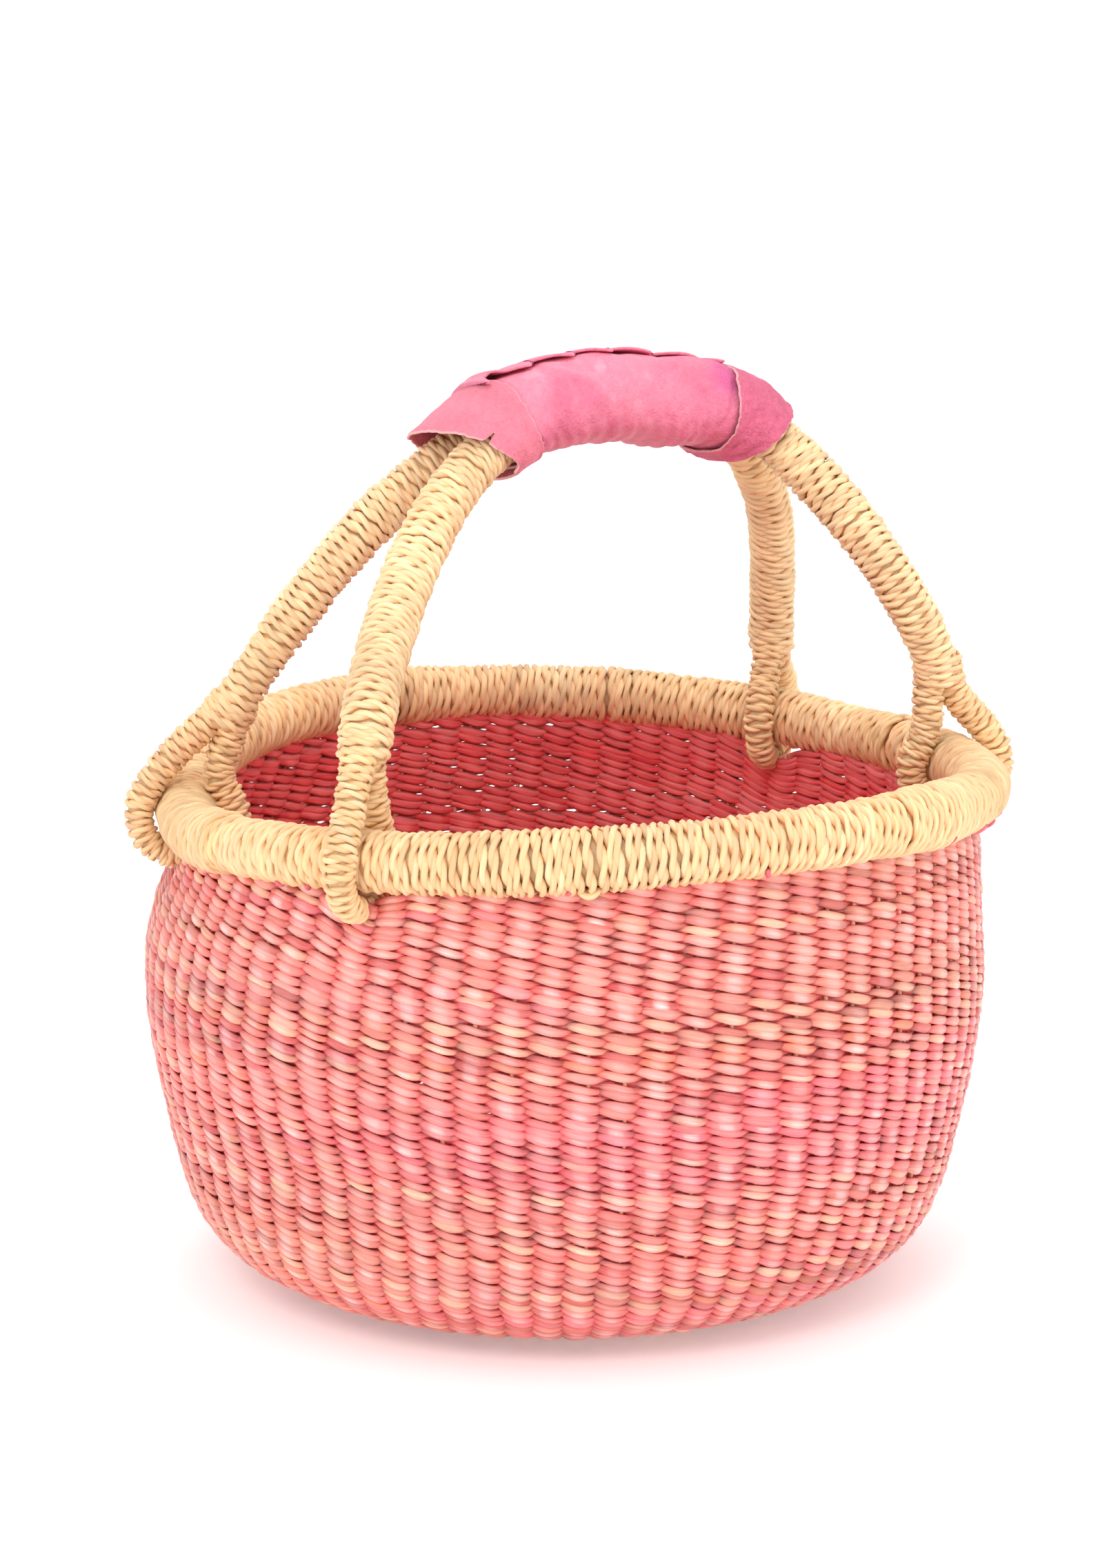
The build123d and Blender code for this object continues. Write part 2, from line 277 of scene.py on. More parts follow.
def drooping(angle):
    """How much of the droop at the back left foot there is at an angle."""
    return np.exp(-(half_turn(angle - DROOP_ANGLE) / DROOP_WIDTH) ** 2)


def rim_height(angle):
    return RIM_CENTRE[2] + RIM_LIFT - RIM_WAVE * np.cos(2 * angle) - DROOP * drooping(angle)


def rim_point(angle):
    """Centre of the hoop at angles in radians round its own centre."""
    angle = np.asarray(angle, float)
    radius = RIM_RADIUS - DROOP_NARROWING * drooping(angle)
    return np.stack([RIM_CENTRE[0] + radius * np.cos(angle),
                     RIM_CENTRE[1] + radius * np.sin(angle), rim_height(angle)], -1)


# ---- Wall surface
outline = cubic([(CROSS_RADIUS + 1, 0), (45, 0)] + WALL_OUTLINE, start=(1, 0), count=900)
slope = unit(np.gradient(outline, axis=0))
inward = np.stack([-slope[:, 1], slope[:, 0]], -1)
middle = outline + inward * WALL_THICKNESS / 2
middle_along = length_along(middle)
BASE_EDGE = np.interp(BASE_RADIUS, middle[:120, 0], middle_along[:120])
WALL_END = np.interp(RIM_CENTRE[2] - RIM_TUBE + 4, middle[:, 1], middle_along)
# Shares of the wall's height above which it follows the hoop's wave and offset, and dips at the feet.
WAVE_START = 0.62
OFFSET_START = 0.80
OFFSET_SHARE = 0.8
DIP_START = 0.76
FOOT_DIP = 8.0
FOOT_DIP_WIDTH = 12.0


def surface(along, angle):
    """Point, outward normal and upward direction of the wall's middle, in millimetres."""
    along, angle = np.broadcast_arrays(along, angle)
    radius = np.interp(along, middle_along, middle[:, 0])
    height = np.interp(along, middle_along, middle[:, 1])
    part = (along - BASE_EDGE) / (WALL_END - BASE_EDGE)
    near_top = smoothstep(WAVE_START, 1.0, part)
    near_rim = smoothstep(OFFSET_START, 1.0, part)
    lift = near_top * (rim_height(angle) - RIM_CENTRE[2])
    depth = np.clip((part - DIP_START) / (1 - DIP_START), 0, 1.1) ** 2
    for foot_angle in (math.radians(values[0]) for values in FEET.values()):
        hoop = rim_point(foot_angle)
        away = np.abs(half_turn(angle - math.atan2(hoop[1], hoop[0]))) * radius
        lift = lift - FOOT_DIP * depth * np.exp(-(away / FOOT_DIP_WIDTH) ** 2)
    x = radius * np.cos(angle) + near_rim * RIM_CENTRE[0] * OFFSET_SHARE
    y = radius * np.sin(angle) + near_rim * RIM_CENTRE[1] * OFFSET_SHARE
    point = np.stack([x, y, height + lift], -1)
    out_r = -np.interp(along, middle_along, inward[:, 0])
    out_z = -np.interp(along, middle_along, inward[:, 1])
    out = np.stack([out_r * np.cos(angle), out_r * np.sin(angle), out_z], -1)
    up = np.stack([-out_z * np.cos(angle), -out_z * np.sin(angle), out_r], -1)
    return point, out, up


# ---- Straw colours
def linear(red, green, blue):
    """A colour given as 0 to 255 sRGB, as linear values."""
    c = np.array([red, green, blue]) / 255
    return np.where(c <= 0.04045, c / 12.92, ((c + 0.055) / 1.055) ** 2.4)


CORAL = linear(235, 138, 128)
BLUSH = linear(248, 174, 162)
CREAM = linear(250, 208, 170)
ROSE = linear(236, 124, 138)
RED = linear(200, 74, 78)
ORANGE = linear(240, 150, 112)
CRIMSON = linear(240, 70, 76)
CRIMSON_LIGHT = linear(250, 140, 138)
STRAW = linear(243, 205, 155)
STRAW_PALE = linear(255, 228, 184)
STRAW_DARK = linear(222, 176, 118)
STRAW_PINK = linear(236, 176, 138)
# Factor for painted shade in the grooves between the plies of the cords.
GROOVE_SHADE_TINT = np.array([0.78, 0.50, 0.32])
# Factor that tints the outer straws' painted shade toward red.
SHADE_TINT = np.array([0.80, 0.42, 0.46])
# Dyes of the straws outside, and how often each is picked.
OUTSIDE = np.array([CORAL, BLUSH, CREAM, ROSE, RED, ORANGE])
CHANCES = np.array([0.46, 0.20, 0.09, 0.12, 0.06, 0.07])
NATURAL = np.array([STRAW, STRAW, STRAW, STRAW, STRAW_PALE * 0.4 + STRAW * 0.6,
                    STRAW_DARK * 0.3 + STRAW * 0.7, STRAW_PINK * 0.25 + STRAW * 0.75])
ARCH_NATURAL = NATURAL * 0.7 + STRAW_PALE * 0.3


def dyed_straws(rows, stakes):
    """Outside colour of the two straws of each row at each stake: (row, 2, stake, 3)."""
    colour = np.zeros((rows, 2, stakes, 3))
    tone = smooth_noise((rows, stakes), (1.2, 5))
    for row in range(rows):
        row_mood = random.normal() * 0.5
        for strand in range(2):
            stake = -int(random.integers(0, 20))
            while stake < stakes:
                length = int(random.integers(7, 26))
                pick, neighbour = OUTSIDE[random.choice(len(OUTSIDE), 2, p=CHANCES)] * 0.55 + CORAL * 0.45
                first, last = max(stake, 0), min(stake + length, stakes)
                if last > first:
                    part = np.linspace(0, random.uniform(0.0, 0.8), last - first)[:, None]
                    colour[row, strand, first:last] = pick * (1 - part) + neighbour * part
                stake += length
        lightness = 1 + 0.07 * tone[row][None, :, None] + 0.05 * row_mood
        colour[row] = colour[row] * lightness
    region = smooth_noise((rows, stakes), (4, 6))[:, None, :, None]
    sunned = 0.40 * smoothstep(0.6, 2.4, region)
    rosy = 0.45 * smoothstep(0.6, 2.4, -region)
    colour = colour * (1 - sunned - rosy) + (CREAM * 0.5 + ORANGE * 0.5) * sunned + ROSE * rosy
    colour = colour * (1 + 0.07 * random.normal(size=(rows, 2, stakes, 1)))
    fleck = random.random((rows, 2, stakes, 1))
    colour = np.where(fleck > 0.98, RED * 0.6 + colour * 0.4, colour)
    colour = np.where(fleck < 0.02, CREAM * 0.35 + colour * 0.65, colour)
    return np.clip(colour, 0, 1)


# ---- Twined weaving
def twined_rows(name, heights, stakes, pitch, smile, outside, drift):
    """Rows of twining: two straws a row, crossing between stakes, each over every second stake.

    drift is how far each row is pushed sideways at each stake, as a share of the stakes' spacing.
    """
    steps = stakes * STEPS_PER_STAKE
    rows = len(heights)
    place = np.arange(steps) / STEPS_PER_STAKE
    before = np.floor(place).astype(int)
    after = (before + 1) % stakes
    aside = drift[:, before] * (1 - place + before) + drift[:, after] * (place - before)
    angle = (place + aside)[:, None, :] * 2 * np.pi / stakes
    bend = 0.10 * pitch * smooth_noise((rows, steps), (0, 6 * STEPS_PER_STAKE))
    along = (heights[:, None] + bend)[:, None, :]
    centre, out, up = surface(along, angle)
    strand = np.array([0, 1])[None, :, None]
    turn = np.pi * (place[None, None, :] + strand)
    jitter = smooth_noise((rows, 2, steps), (0, 0, STEPS_PER_STAKE // 2))
    slip = smooth_noise((rows, 2, steps), (0, 0, STEPS_PER_STAKE))
    over = np.cos(turn)
    shaped = np.sign(over) * np.abs(over) ** 0.6
    lap = WALL_THICKNESS / 2 - STRAW_SINK
    radial = shaped * lap * (1 + 0.06 * jitter)
    lean = -0.36 * pitch * np.sin(turn)
    sag = smile * (0.5 - np.abs(over) ** 1.5)
    centre = centre + out * radial[..., None] + up * (lean + sag + 0.06 * jitter + 0.20 * slip)[..., None]
    tangent = unit(np.roll(centre, -1, 2) - np.roll(centre, 1, 2))
    out = unit(out - tangent * np.sum(out * tangent, -1, keepdims=True))
    across = np.cross(tangent, out)
    thick = 0.78 + 0.30 * (1 - np.abs(over)) + 0.05 * jitter
    girth = 1 + 0.10 * random.normal(size=(rows, 2, 1))
    broad = pitch * (0.38 + 0.22 * np.abs(over) ** 1.2) * girth * (1 + 0.07 * jitter)
    stake_index = np.floor(place + 0.5).astype(int) % stakes
    colour = twined_colours(outside, stake_index, over, radial / lap, slip)
    distance = np.cumsum(np.linalg.norm(np.roll(centre, -1, 2) - centre, axis=-1), -1)
    merge = (rows * 2, steps)
    return strands(
        name, centre.reshape(*merge, 3), out.reshape(*merge, 3), across.reshape(*merge, 3),
        thick.reshape(merge), broad.reshape(merge), STRAND_SIDES, True,
        colour.reshape(*merge, STRAND_SIDES, 3), distance.reshape(merge))


def twined_colours(outside, stake_index, over, level, slip):
    """Colours round each straw, dyed outside and crimson inside, with painted highlights and painted
    shade.

    over and level say how far out a straw is, from -1 inside to 1 outside.
    """
    rows, stakes = outside.shape[0], outside.shape[2]
    shade = outside[:, :, stake_index]
    turn = np.arange(STRAND_SIDES) * 2 * np.pi / STRAND_SIDES
    # Painted shade: darker along each straw's upper and lower edges, where it meets the rows beside it.
    edge = np.abs(np.sin(turn)) ** 3
    # Painted shade: darker where the straw tucks in behind a stake.
    tucked = 1 - smoothstep(0.15, 0.95, level)
    painted_shade = np.clip(0.75 * tucked[..., None] + 0.45 * edge, 0, 1)[..., None]
    # Painted highlight: each straw's crown over a stake is mixed toward pale pink, more on some stitches
    # than others.
    crown = smoothstep(0.75, 1.0, over)[..., None] * np.clip(np.cos(turn), 0, 1) ** 2
    highlight_strength = smooth_noise((rows, 2, len(stake_index)), (0, 0, STEPS_PER_STAKE))
    pale = np.clip((0.24 + 0.20 * highlight_strength[..., None]) * crown, 0, 1)[..., None]
    outer = shade[..., None, :] * (1 - pale) + (BLUSH * 0.5 + 0.5) * pale
    # Some stitches, picked at random, get a darker painted shade.
    deeper_shade_stitch = (random.random((rows, 2, stakes)) > 0.86)[:, :, stake_index][..., None, None]
    tint = SHADE_TINT * (1 - 0.55 * deeper_shade_stitch)
    outer = outer * (1 - painted_shade) + (shade[..., None, :] * tint) * painted_shade
    brightness = shade.mean(-1, keepdims=True) / CORAL.mean()
    red = CRIMSON + (CRIMSON_LIGHT - CRIMSON) * np.clip(brightness * 1.3 - 0.95, 0, 1)
    # Painted highlight on the inner crowns, and painted shade along the inner straws' edges.
    back = smoothstep(0.55, 1.0, -over)[..., None] * np.clip(-np.cos(turn), 0, 1) ** 2
    back = np.clip((0.40 + 0.30 * slip)[..., None] * back, 0, 1)[..., None]
    inner = red[..., None, :] * (1 - 0.40 * edge[:, None]) * (1 - back) + CRIMSON_LIGHT * back
    inside = smoothstep(0.25, -0.45, level[..., None] + 0.35 * np.cos(turn))[..., None]
    return outer * (1 - inside) + inner * inside


def weave_wall():
    """The wall, in bands of rows."""
    rows = int(round((WALL_END - BASE_EDGE) / ROW_PITCH))
    heights = BASE_EDGE + (np.arange(rows) + 0.5) * (WALL_END - BASE_EDGE) / rows
    colours = dyed_straws(rows, STAKES)
    drift = 0.13 * smooth_noise((rows, STAKES), (7, 2)) + 0.04 * smooth_noise((rows, STAKES), (1, 1))
    pieces = []
    for index, first in enumerate(range(0, rows, ROWS_IN_A_BAND)):
        last = min(first + ROWS_IN_A_BAND, rows)
        part = (first + last) / 2 / rows
        smile = 0.55 * smoothstep(0.62, 0.25, part) + 0.12
        name = f"wall_weave_{index:02d}"
        pieces.append(twined_rows(name, heights[first:last], STAKES, ROW_PITCH, smile,
                                  colours[first:last], drift[first:last]))
    return pieces


def weave_base():
    """The flat base, with half as many stakes."""
    rows = int(round(BASE_EDGE / BASE_ROW_PITCH))
    heights = (np.arange(rows) + 0.5) * BASE_EDGE / rows
    colours = dyed_straws(rows, STAKES // 2)
    drift = 0.03 * smooth_noise((rows, STAKES // 2), (3, 1))
    return twined_rows("base_weave", heights, STAKES // 2, BASE_ROW_PITCH, 0.0, colours, drift)


def crossed_straws():
    """The two layers of straws that the base is started with."""
    spacing, steps = 2.8, 40
    pieces = []
    for index, (count, turn, height) in enumerate(((10, 0.0, 1.3), (9, np.pi / 2, 3.2))):
        offsets = (np.arange(count) - (count - 1) / 2) * spacing
        half = np.sqrt((CROSS_RADIUS + 3.0) ** 2 - offsets ** 2)
        run = np.linspace(-1, 1, steps)[None, :] * half[:, None]
        side = offsets[:, None] + 0.25 * smooth_noise((count, steps), (0, 6))
        rise = height + 0.15 * smooth_noise((count, steps), (0, 4))
        x = run * math.cos(turn) - side * math.sin(turn)
        y = run * math.sin(turn) + side * math.cos(turn)
        centre = np.stack([x, y, rise], -1)
        out = np.broadcast_to([0.0, 0.0, 1.0], centre.shape)
        across = np.broadcast_to([-math.sin(turn), math.cos(turn), 0.0], centre.shape)
        thick = np.full(centre.shape[:2], 0.95)
        shade = CORAL * (1 + 0.06 * smooth_noise((count, steps), (0, 5)))[..., None]
        pieces.append(strands(f"base_cross_straws_{index}", centre, out, across, thick, thick * 1.45,
                              8, False, np.clip(shade, 0, 1), run))
    return pieces


def stake_rods(name, angles, first, radius, colour):
    """Straws that run up the middle of the wall."""
    steps = 60
    along = np.linspace(first, WALL_END + 2.0, steps)[None, :]
    angle = np.asarray(angles)[:, None]
    centre, out, up = surface(along, np.broadcast_to(angle, (len(angles), steps)))
    side = np.cross(out, up)
    wander = smooth_noise((len(angles), steps), (0, 4))[..., None] * 0.2
    centre = centre + side * wander
    size = np.full(centre.shape[:2], radius)
    tone = 1 + 0.06 * smooth_noise(centre.shape[:2], (0, 3))
    shade = np.broadcast_to(colour, centre.shape) * tone[..., None]
    return strands(name, centre, out, side, size, size, 6, False, np.clip(shade, 0, 1),
                   np.broadcast_to(along, centre.shape[:2]))


# ---- Wound cord
# Where each ply of a cord sits and how big it is, as shares of the cord's half thickness.
PLY_RISE, PLY_SPREAD = 0.34, 0.48
PLY_THICK, PLY_BROAD = 0.66, 0.70
# How far inside the wrap's surface the bundle lies.
WRAP_DEPTH = 2.4


def wound_cord(name, path, radius, kind, first_normal, palette, span=None):
    """Two-ply twisted straw cord wound round a path.

    path is a polyline, radius the outside radius of the wrap at each point of it, and span the
    stretch of it that is wound.
    """
    pitch, cord, lay, step = kind
    along = length_along(path)
    _, normal, binormal = carried_frame(path, first_normal)
    start, end = span or (0.0, along[-1])
    turns = (end - start) / pitch
    mean = float(np.mean(radius)) - cord
    count = int(turns * 2 * np.pi * mean / step)

    def waver(reach):
        return smooth_noise((count,), (int(reach / step),))

    wind = np.linspace(0, turns * 2 * np.pi, count)
    uneven = waver(40) * 0.08 * pitch + waver(9) * 0.07 * pitch
    where = start + wind / (2 * np.pi) * pitch + uneven
    level = np.interp(where, along, radius) - cord + waver(9) * 0.10
    n = unit(at(normal, along, where))
    b = unit(at(binormal, along, where))
    outward = n * np.cos(wind)[:, None] + b * np.sin(wind)[:, None]
    line = at(path, along, where) + outward * level[:, None]
    side = np.cross(unit(np.gradient(line, axis=0)), outward)
    distance = length_along(line)
    twist = 2 * np.pi * distance / lay + waver(30) * 0.6
    spin = np.array([twist, twist + np.pi])
    offset = outward * np.cos(spin)[..., None] * PLY_RISE + side * np.sin(spin)[..., None] * PLY_SPREAD
    centre = line + offset * cord
    girth = 1 + 0.05 * np.array([waver(12) for _ in range(2)])
    shade = np.array([cord_colours(distance, palette) for _ in range(2)])[:, :, None, :]
    sides = 6
    around = np.cos(np.arange(sides) * 2 * np.pi / sides)
    # Painted shade: the sides of each ply that sink into the grooves are darkened.
    groove_shade = smoothstep(0.35, -0.8, np.cos(spin)[..., None] * 0.7 + around * 0.5)[..., None]
    shade = shade * (1 - groove_shade) + shade * GROOVE_SHADE_TINT * groove_shade
    out = np.repeat(outward[None], 2, 0)
    across = np.repeat(side[None], 2, 0)
    return strands(name, centre, out, across, PLY_THICK * cord * girth, PLY_BROAD * cord * girth,
                   sides, False, shade, np.repeat(distance[None], 2, 0))


def cord_colours(distance, palette):
    """Colour along a cord whose straws are replaced every now and then."""
    knots = [0.0]
    while knots[-1] < distance[-1]:
        knots.append(knots[-1] + random.uniform(60, 420))
    picks = palette[random.integers(0, len(palette), len(knots))]
    index = np.searchsorted(knots, distance, side="right") - 1
    tone = 1 + 0.05 * smooth_noise((len(distance),), (9,)) + 0.05 * smooth_noise((len(distance),), (140,))
    return np.clip(picks[index] * tone[:, None], 0, 1)


def wrap_rim():
    """The cord round the hoop, in four stretches."""
    pieces = []
    steps = 240
    for index in range(4):
        path = rim_point(np.radians(90 * index + np.linspace(0, 90, steps)))
        radius = RIM_TUBE + 0.35 * smooth_noise((steps,), (14,))
        pieces.append(wound_cord(f"rim_cord_{index}", path, radius, RIM_CORD, (0, 0, 1), NATURAL))
    return pieces


def rim_surface(angle, turn, height):
    """A point over the rim's cord: angle round the hoop, angle above the outward direction."""
    outward = np.stack([np.cos(angle), np.sin(angle), np.zeros_like(angle)], -1)
    radial = outward * np.cos(turn)[:, None] + np.array([0, 0, 1.0]) * np.sin(turn)[:, None]
    return rim_point(angle) + radial * (RIM_TUBE + height)[:, None]


def single_straws(name, lines, radius, colour):
    """Loose straws, each a line of points, thinner at their ends."""
    steps = 14
    centre = np.array([evenly(np.asarray(line, float), steps) for line in lines])
    taper = 1 - 0.5 * np.linspace(-1, 1, steps) ** 4
    return short_straws(name, centre, [0.3, 0.2, 1.0], radius * taper, colour)


def rim_stake_ends():
    """Dyed straws of the wall whose ends show between the cords under the rim."""
    lines = []
    for _ in range(26):
        angle = random.uniform(0, 2 * np.pi)
        lean = random.uniform(-0.02, 0.02)
        reach = random.uniform(0.25, 0.6)
        turn = -1.25 + np.linspace(0, reach, 8)
        height = 0.35 * np.sin(np.linspace(0, np.pi, 8)) - 0.5
        lines.append(rim_surface(angle + lean * np.linspace(0, 1, 8), turn, height))
    return single_straws("rim_stake_ends", lines, 0.85, ROSE * 0.7 + RED * 0.3)


def rim_loose_loop():
    """A turn of cord that has worked loose at the front of the rim."""
    angle = np.radians(np.linspace(238.0, 241.0, 12))
    turn = np.full(12, math.radians(-68))
    height = 2.6 * np.sin(np.linspace(0, np.pi, 12)) - 1.6
    return single_straws("rim_loose_loop", [rim_surface(angle, turn, height)], 1.25, STRAW)


# ---- Handle
def foot_frame(name):
    """The hoop's centre at a foot and the level direction in which the foot points outward."""
    angle, turn = FEET[name][:2]
    outward = math.radians(angle + turn)
    return rim_point(math.radians(angle)), np.array([math.cos(outward), math.sin(outward), 0.0])


def fork(name):
    """Where a leg forks above its foot, and its direction down."""
    centre, outward = foot_frame(name)
    height, inset = FEET[name][2:4]
    lean = math.radians(FEET[name][4])
    down = outward * math.sin(lean) - np.array([0, 0, 1]) * math.cos(lean)
    return centre - outward * inset + np.array([0, 0, height]), down


def arch_curve(row):
    """Centreline of an arch, from fork to fork."""
    left, left_down = fork(f"{row}_left")
    right, right_down = fork(f"{row}_right")
    return cubic([left, *ARCH_POINTS[row], right], start=-left_down, end=right_down, count=500)


def prong_curve(name, side):
    """Centreline of a prong, from inside the leg to its tip under the rim."""
    centre, outward = foot_frame(name)
    end, down = fork(name)
    lean = math.radians(FEET[name][4])
    across = outward * math.cos(lean) + np.array([0, 0, math.sin(lean)])

    def around(degrees, lift):
        turn = math.radians(degrees)
        rise = LOOP_REACH * math.sin(turn) + lift
        return centre + outward * side * LOOP_REACH * math.cos(turn) + np.array([0, 0, rise])

    aside = 4.0 if side > 0 else 5.6
    points = [end - down * 9 + across * side * 2.6, end + down * 3 + across * side * aside]
    offset = points[-1] - centre
    start_angle = math.degrees(math.atan2(offset[2], offset @ outward * side))
    if start_angle > 60:
        points.append(around(46, 0.0))
    points += [around(0, 0.0), around(-42, 0.0), around(-82, 1.2)]
    return cubic(points, start=down, end=-outward * side, count=160)


def bundle(name, path, radius, first_normal, closed=False):
    """The plain bundle of straw inside a wrap."""
    _, normal, binormal = carried_frame(path, first_normal)
    size = np.broadcast_to(radius, (1, len(path)))
    # The straw colour is darkened as painted shade, since the bundle shows only deep in the gaps between
    # the cords.
    shade = np.broadcast_to(STRAW * 0.7, (1, len(path), 3))
    return strands(name, path[None], normal[None], binormal[None], size, size, 18, closed, shade,
                   length_along(path)[None])


def wrap_arch(row):
    """The cord wound round an arch, in two stretches."""
    path = arch_curve(row)
    along = length_along(path)
    radius = np.linspace(*ARCH_TUBES[row], len(path)) + 0.3 * smooth_noise((len(path),), (16,))
    half = along[-1] / 2
    return [wound_cord(f"{row}_arch_cord_{index}", path, radius, ARCH_CORD, (0, 1, 0), ARCH_NATURAL, span)
            for index, span in enumerate(((0.0, half), (half, along[-1])))]


def wrap_prong(name, side):
    """The cord and the bundle of a prong that narrows towards its tip."""
    path = prong_curve(name, side)
    along = length_along(path)
    radius = np.interp(along, [0, 10, along[-1] * 0.6, along[-1]], [7.2, 6.3, 6.0, 4.9])
    label = "outer" if side > 0 else "inner"
    first_normal = (0.2, 1, 0.1)
    cord = wound_cord(f"{name}_{label}_prong_cord", path, radius, PRONG_CORD, first_normal, NATURAL)
    return cord, bundle(f"{name}_{label}_prong_bundle", path, radius - 1.9, first_normal)


def loose_straw():
    """A straw end that sticks out of the back right loop."""
    tip = prong_curve("back_right", -1)[-1]
    line = tip + np.array([(0, 0, 0), (2.4, -1.2, -1.2), (5.6, -2.6, 0.8), (8.0, -3.4, 4.2)])
    return single_straws("back_right_loose_straw", [line], 0.8, STRAW)


# ---- Leather grip
def grip_curve():
    """The line midway between the arches, and the spread between them along it."""
    pairs = zip(ARCH_POINTS["front"][1:-1], ARCH_POINTS["back"][1:])
    middle_line = cubic([(np.array(front) + np.array(back)) / 2 for front, back in pairs], count=600)
    tangent = unit(np.gradient(middle_line, axis=0))
    arches = [arch_curve(row) for row in ("front", "back")]
    centre, spread = [], []
    for point, direction in zip(middle_line, tangent):
        crossings = []
        for arch in arches:
            near = arch[np.linalg.norm(arch - point, axis=1) < 45]
            crossings.append(at(near, (near - point) @ direction, 0.0))
        centre.append((crossings[1] + crossings[0]) / 2)
        spread.append((crossings[1] - crossings[0]) / 2)
    centre, spread = np.array(centre), np.array(spread)
    along = length_along(middle_line)
    along = along - along[-1] / 2
    rise = 1.9 * np.exp(-((along + 38) / 24) ** 2) - 2.2 * np.exp(-((along - 24) / 15) ** 2)
    return centre + np.outer(rise, (0, 0, 1)), tangent, spread, along


GRIP_CENTRE, GRIP_TANGENT, GRIP_SPREAD, GRIP_ALONG = grip_curve()
GRIP_SPAN = (-50.0, 58.0)


def grip_point(where, turn, lift):
    """A point of the grip.

    where is the distance along it, turn the angle from the top towards the back, and lift the height
    over the leather.
    """
    where, turn, lift = np.broadcast_arrays(where, turn, lift)
    centre = at(GRIP_CENTRE, GRIP_ALONG, where)
    along = unit(at(GRIP_TANGENT, GRIP_ALONG, where))
    spread = at(GRIP_SPREAD, GRIP_ALONG, where)
    spread = spread - along * np.sum(spread * along, -1, keepdims=True)
    half = np.linalg.norm(spread, axis=-1, keepdims=True)
    side = spread / half
    up = np.cross(along, side)
    across, top = np.sin(turn)[..., None], np.cos(turn)[..., None]
    swell = smoothstep(-75, -20, where) * smoothstep(72, 20, where)
    flat = np.tanh(1.7 * across) / np.tanh(1.7)
    wide = 12.0 + 1.2 * swell[..., None]
    high = 13.2 + 2.6 * swell[..., None]
    direction = unit(side * across / wide + up * top / high)
    return centre + side * (half * flat + wide * across) + up * high * top + direction * lift[..., None]


def around_grip(count):
    """Angles at even steps round the grip."""
    return np.linspace(0, 2 * np.pi, count, endpoint=False)


def grid_faces(rows, columns, closed):
    """Quads and their UVs for a grid of points that closes sideways, and lengthways too if closed."""
    spans = rows if closed else rows - 1
    i, k = np.meshgrid(np.arange(spans), np.arange(columns), indexing="ij")

    def index(row, column):
        return (row % rows) * columns + column % columns

    quads = np.stack([index(i, k), index(i, k + 1), index(i + 1, k + 1), index(i + 1, k)], -1)
    uv = np.stack([i / rows, k / columns, i / rows, (k + 1) / columns,
                   (i + 1) / rows, (k + 1) / columns, (i + 1) / rows, k / columns], -1)
    return quads.reshape(-1, 4), uv.reshape(-1, 2)


def leather_sheet(name, where, lift, thickness, colour, grain):
    """A closed tube of leather with a thickness and rounded, paler cut edges.

    where and lift are (step, turn): distance along the grip and height over its surface.
    """
    turns = where.shape[1]
    turn = around_grip(turns)[None, :]
    edge = 3
    swing = np.linspace(0, np.pi, edge + 2)[1:-1]
    rounded = 0.5 * (1 - np.cos(swing))
    bulge = 0.5 * np.sin(swing) * thickness
    far_edge = np.stack([grip_point(where[-1] + b, turn[0], lift[-1] - thickness * r)
                         for r, b in zip(rounded, bulge)])
    near_edge = np.stack([grip_point(where[0] - b, turn[0], lift[0] - thickness * (1 - r))
                          for r, b in zip(rounded, bulge)])
    points = np.concatenate([grip_point(where, turn, lift), far_edge,
                             grip_point(where, turn, lift - thickness)[::-1], near_edge])
    # The underside is the top's colour darkened, as painted shade.
    shade = np.concatenate([colour, np.repeat(colour[-1:], edge, 0) * 0.4 + CUT_EDGE * 0.6,
                            colour[::-1] * 0.75, np.repeat(colour[:1], edge, 0) * 0.4 + CUT_EDGE * 0.6])
    quads, uv = grid_faces(len(points), turns, True)
    flat = points.reshape(-1, 3)
    shade = np.clip(shade, 0, 1).reshape(-1, 3)
    return build_mesh(name, flat, quads, NO_TRIANGLES, uv, shade, flat + grain)


def bumps(shape, reach, size):
    """Smooth random bumps of about a size."""
    return size * smooth_noise(shape, reach)


LEATHER_THICKNESS = 1.2
CUFF_TURNS = 280
LEATHER = linear(245, 138, 163)
LEATHER_PALE = linear(252, 168, 188)
LEATHER_CUFF = linear(236, 126, 147)
LEATHER_ROSE = linear(225, 106, 138)
LEATHER_MAGENTA = linear(206, 72, 150)
CUT_EDGE = linear(252, 214, 205)
SCALLOP = 15.5
SCALLOP_START = 4.0
# Angle from the top at which the sleeve is worn away behind the right cuff, and how wide that place is.
WORN_TURN, WORN_WIDTH = 0.75, 0.42


def scallop_phase(where):
    """How far along its scallop a place is, from stitch to stitch."""
    return ((where - SCALLOP_START) / SCALLOP) % 1.0


def beside_stitch(where, width):
    """1 at a stitch, falling to 0 over about a width."""
    phase = scallop_phase(where)
    return np.exp(-(np.minimum(phase, 1 - phase) * SCALLOP / width) ** 2)


def flap_edge(where):
    """Angle from the top of the lapped edge, scalloped between the stitches."""
    phase = scallop_phase(where)
    tooth = np.where(phase < 0.78, phase / 0.78, (1 - phase) / 0.22)
    tooth = tooth * tooth * (3 - 2 * tooth) * 0.5 + tooth * 0.5
    return -0.10 - 0.27 * tooth + 0.03 * np.sin(where / 9)


def near_turn(turn, angle, width):
    """A bump of 1 at an angle round the grip."""
    return np.exp(-(half_turn(turn - angle) / width) ** 2)


def left_cuff_edge(turn):
    """Where the left cuff ends on the sleeve, at angles round the grip."""
    return -42.5 + 0.5 * np.cos(turn) - 3.0 * near_turn(turn, 4.9, 0.8)


